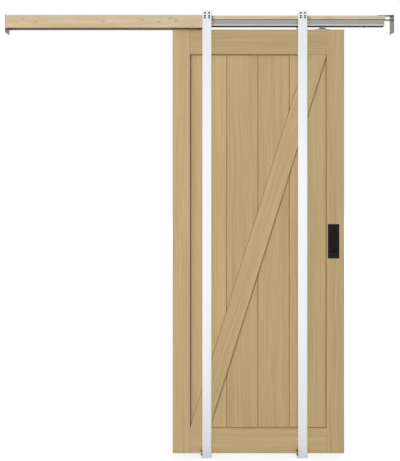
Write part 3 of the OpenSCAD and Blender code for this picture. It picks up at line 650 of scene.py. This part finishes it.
def turned_piece(name, centre, rings, closed):
    """Piece of rings of (radius, height) round an upright axis. closed joins the last to the first."""
    form = bmesh.new()
    rows = []
    for ring in rings:
        row = []
        for (radius, z), angle in zip(ring, ROUND_ANGLES):
            x = centre.x + radius * math.cos(angle)
            y = centre.y + radius * math.sin(angle)
            row.append(form.verts.new((x, y, z)))
        rows.append(row)
    pairs = list(zip(rows, rows[1:]))
    if closed:
        pairs.append((rows[-1], rows[0]))
    for low, high in pairs:
        for i in range(ROUND_STEPS):
            j = (i + 1) % ROUND_STEPS
            form.faces.new((low[i], low[j], high[j], high[i]))
    if not closed:
        form.faces.new(rows[0][::-1])
        form.faces.new(rows[-1])
    bmesh.ops.recalc_face_normals(form, faces=form.faces)
    mesh = bpy.data.meshes.new(name)
    form.to_mesh(mesh)
    form.free()
    mesh.materials.append(bright_steel)
    return placed(name, mesh)


for side in ("left", "right"):
    low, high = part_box(side + "_hanger_bolt")
    rings = hex_rings(low.z, low.z + BOLT_HEAD) + thread_rings(low.z + BOLT_HEAD, high.z)
    bolt = turned_piece(side + "_threaded_bolt", (low + high) / 2, rings, False)
    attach(bolt, "door")
    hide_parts(side + "_hanger_bolt")
    low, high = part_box(side + "_jam_nut")
    high_lead = [round_ring(LEAD_RADIUS, high.z), round_ring(BORE_RADIUS, high.z - LEAD_HEIGHT)]
    low_lead = [round_ring(BORE_RADIUS, low.z + LEAD_HEIGHT), round_ring(LEAD_RADIUS, low.z)]
    rings = hex_rings(low.z, high.z) + high_lead + low_lead
    nut = turned_piece(side + "_chamfered_nut", (low + high) / 2, rings, True)
    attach(nut, "door")
    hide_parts(side + "_jam_nut")


# Stage: a pale floor, and a white surround that the camera and the metal see
WHITE = (1, 1, 1, 1)
FLOOR_SIZE = 900.0
FLOOR_DROP = 0.5 * MM
FLOOR_SEEN = (0.31, 0.31, 0.31, 1)
FLOOR_BOUNCE = (0.22, 0.22, 0.22, 1)
GLOW_NEAR = 0.725
GLOW_FAR = 0.80
GLOW_REACH = (4.0, 16.0)
SKY_FILL = 0.66


def light_share(s):
    """1 for rays that see the white surround: from the camera, in a gloss or through a clear piece."""
    rays = s.node("ShaderNodeLightPath").outputs
    seen = s.math("MAXIMUM", rays["Is Camera Ray"], rays["Is Glossy Ray"])
    return s.math("MAXIMUM", seen, rays["Is Transmission Ray"])


def pale_floor(name):
    """Floor that glows for the rays that see it, under the light and shadow that fall on it."""
    s = material_shader(name)
    away = s.node("ShaderNodeVectorMath", {0: s.place()}, operation="LENGTH").outputs["Value"]
    level = s.spread(away, *GLOW_REACH, GLOW_NEAR, GLOW_FAR)
    glow = s.node("ShaderNodeEmission", {"Color": WHITE, "Strength": level}).outputs[0]
    lit = s.node("ShaderNodeBsdfDiffuse", {"Color": FLOOR_SEEN}).outputs[0]
    seen = s.node("ShaderNodeAddShader", {0: glow, 1: lit}).outputs[0]
    bounce = s.node("ShaderNodeBsdfDiffuse", {"Color": FLOOR_BOUNCE}).outputs[0]
    either = s.node("ShaderNodeMixShader", {0: light_share(s), 1: bounce, 2: seen}).outputs[0]
    s.node("ShaderNodeOutputMaterial", {"Surface": either})
    return s.owner


floor_mesh = bpy.data.meshes.new("floor")
form = bmesh.new()
bmesh.ops.create_grid(form, x_segments=1, y_segments=1, size=FLOOR_SIZE / 2)
form.to_mesh(floor_mesh)
form.free()
floor_mesh.materials.append(pale_floor("pale_floor"))
floor = placed("floor", floor_mesh)
floor.location = (0, 0, -FLOOR_DROP)

world = bpy.data.worlds.new("surround")
scene.world = world
sky = Shader(world)
strength = sky.spread(light_share(sky), 0.0, 1.0, SKY_FILL, 1.0)
background = sky.node("ShaderNodeBackground", {"Color": WHITE, "Strength": strength})
sky.node("ShaderNodeOutputWorld", {"Surface": background.outputs[0]})

# Lamps: a broad key beside the camera, and a like one behind the object for the views from there
KEY_TARGET = Vector((0, 0, 1.07))
KEY_ELEVATION = 13
KEY_DISTANCE = 14.0
KEY_SIZE = 9.8
KEY_WATTS = 1810
KEY_AZIMUTHS = (("front", -30), ("rear", 150))


def node_group(name, members, state):
    """Nodes for a lamp's light or shade: INCLUDE for these alone, EXCLUDE for all but these."""
    group = bpy.data.collections.new(name)
    for member in members:
        group.objects.link(nodes[member])
    for entry in group.collection_objects:
        entry.light_linking.link_state = state
    return group


def soft_box(name, azimuth, lit_nodes, shading_nodes=None):
    """Area lamp that looks at the object. Azimuth is to the right of the camera, in degrees."""
    a = math.radians(azimuth)
    e = math.radians(KEY_ELEVATION)
    away = Vector((math.sin(a) * math.cos(e), -math.cos(a) * math.cos(e), math.sin(e)))
    data = bpy.data.lights.new(name, "AREA")
    data.shape = "SQUARE"
    data.size = KEY_SIZE
    data.energy = KEY_WATTS
    lamp = placed(name, data)
    lamp.location = KEY_TARGET + away * KEY_DISTANCE
    lamp.rotation_mode = "QUATERNION"
    lamp.rotation_quaternion = (-away).to_track_quat("-Z", "Y")
    lamp.visible_camera = False
    lamp.visible_glossy = False
    lamp.light_linking.receiver_collection = lit_nodes
    lamp.light_linking.blocker_collection = shading_nodes


# The leaf has keys of its own, which pass the slim studs, so that these lay no stripes on it
leaf_alone = node_group("leaf_alone", LEAF_NAMES, "INCLUDE")
all_but_leaf = node_group("all_but_leaf", LEAF_NAMES, "EXCLUDE")
all_but_studs = node_group("all_but_studs", STUDS, "EXCLUDE")
for side, azimuth in KEY_AZIMUTHS:
    soft_box(side + "_key", azimuth, all_but_leaf)
    soft_box(side + "_leaf_key", azimuth, leaf_alone, all_but_studs)
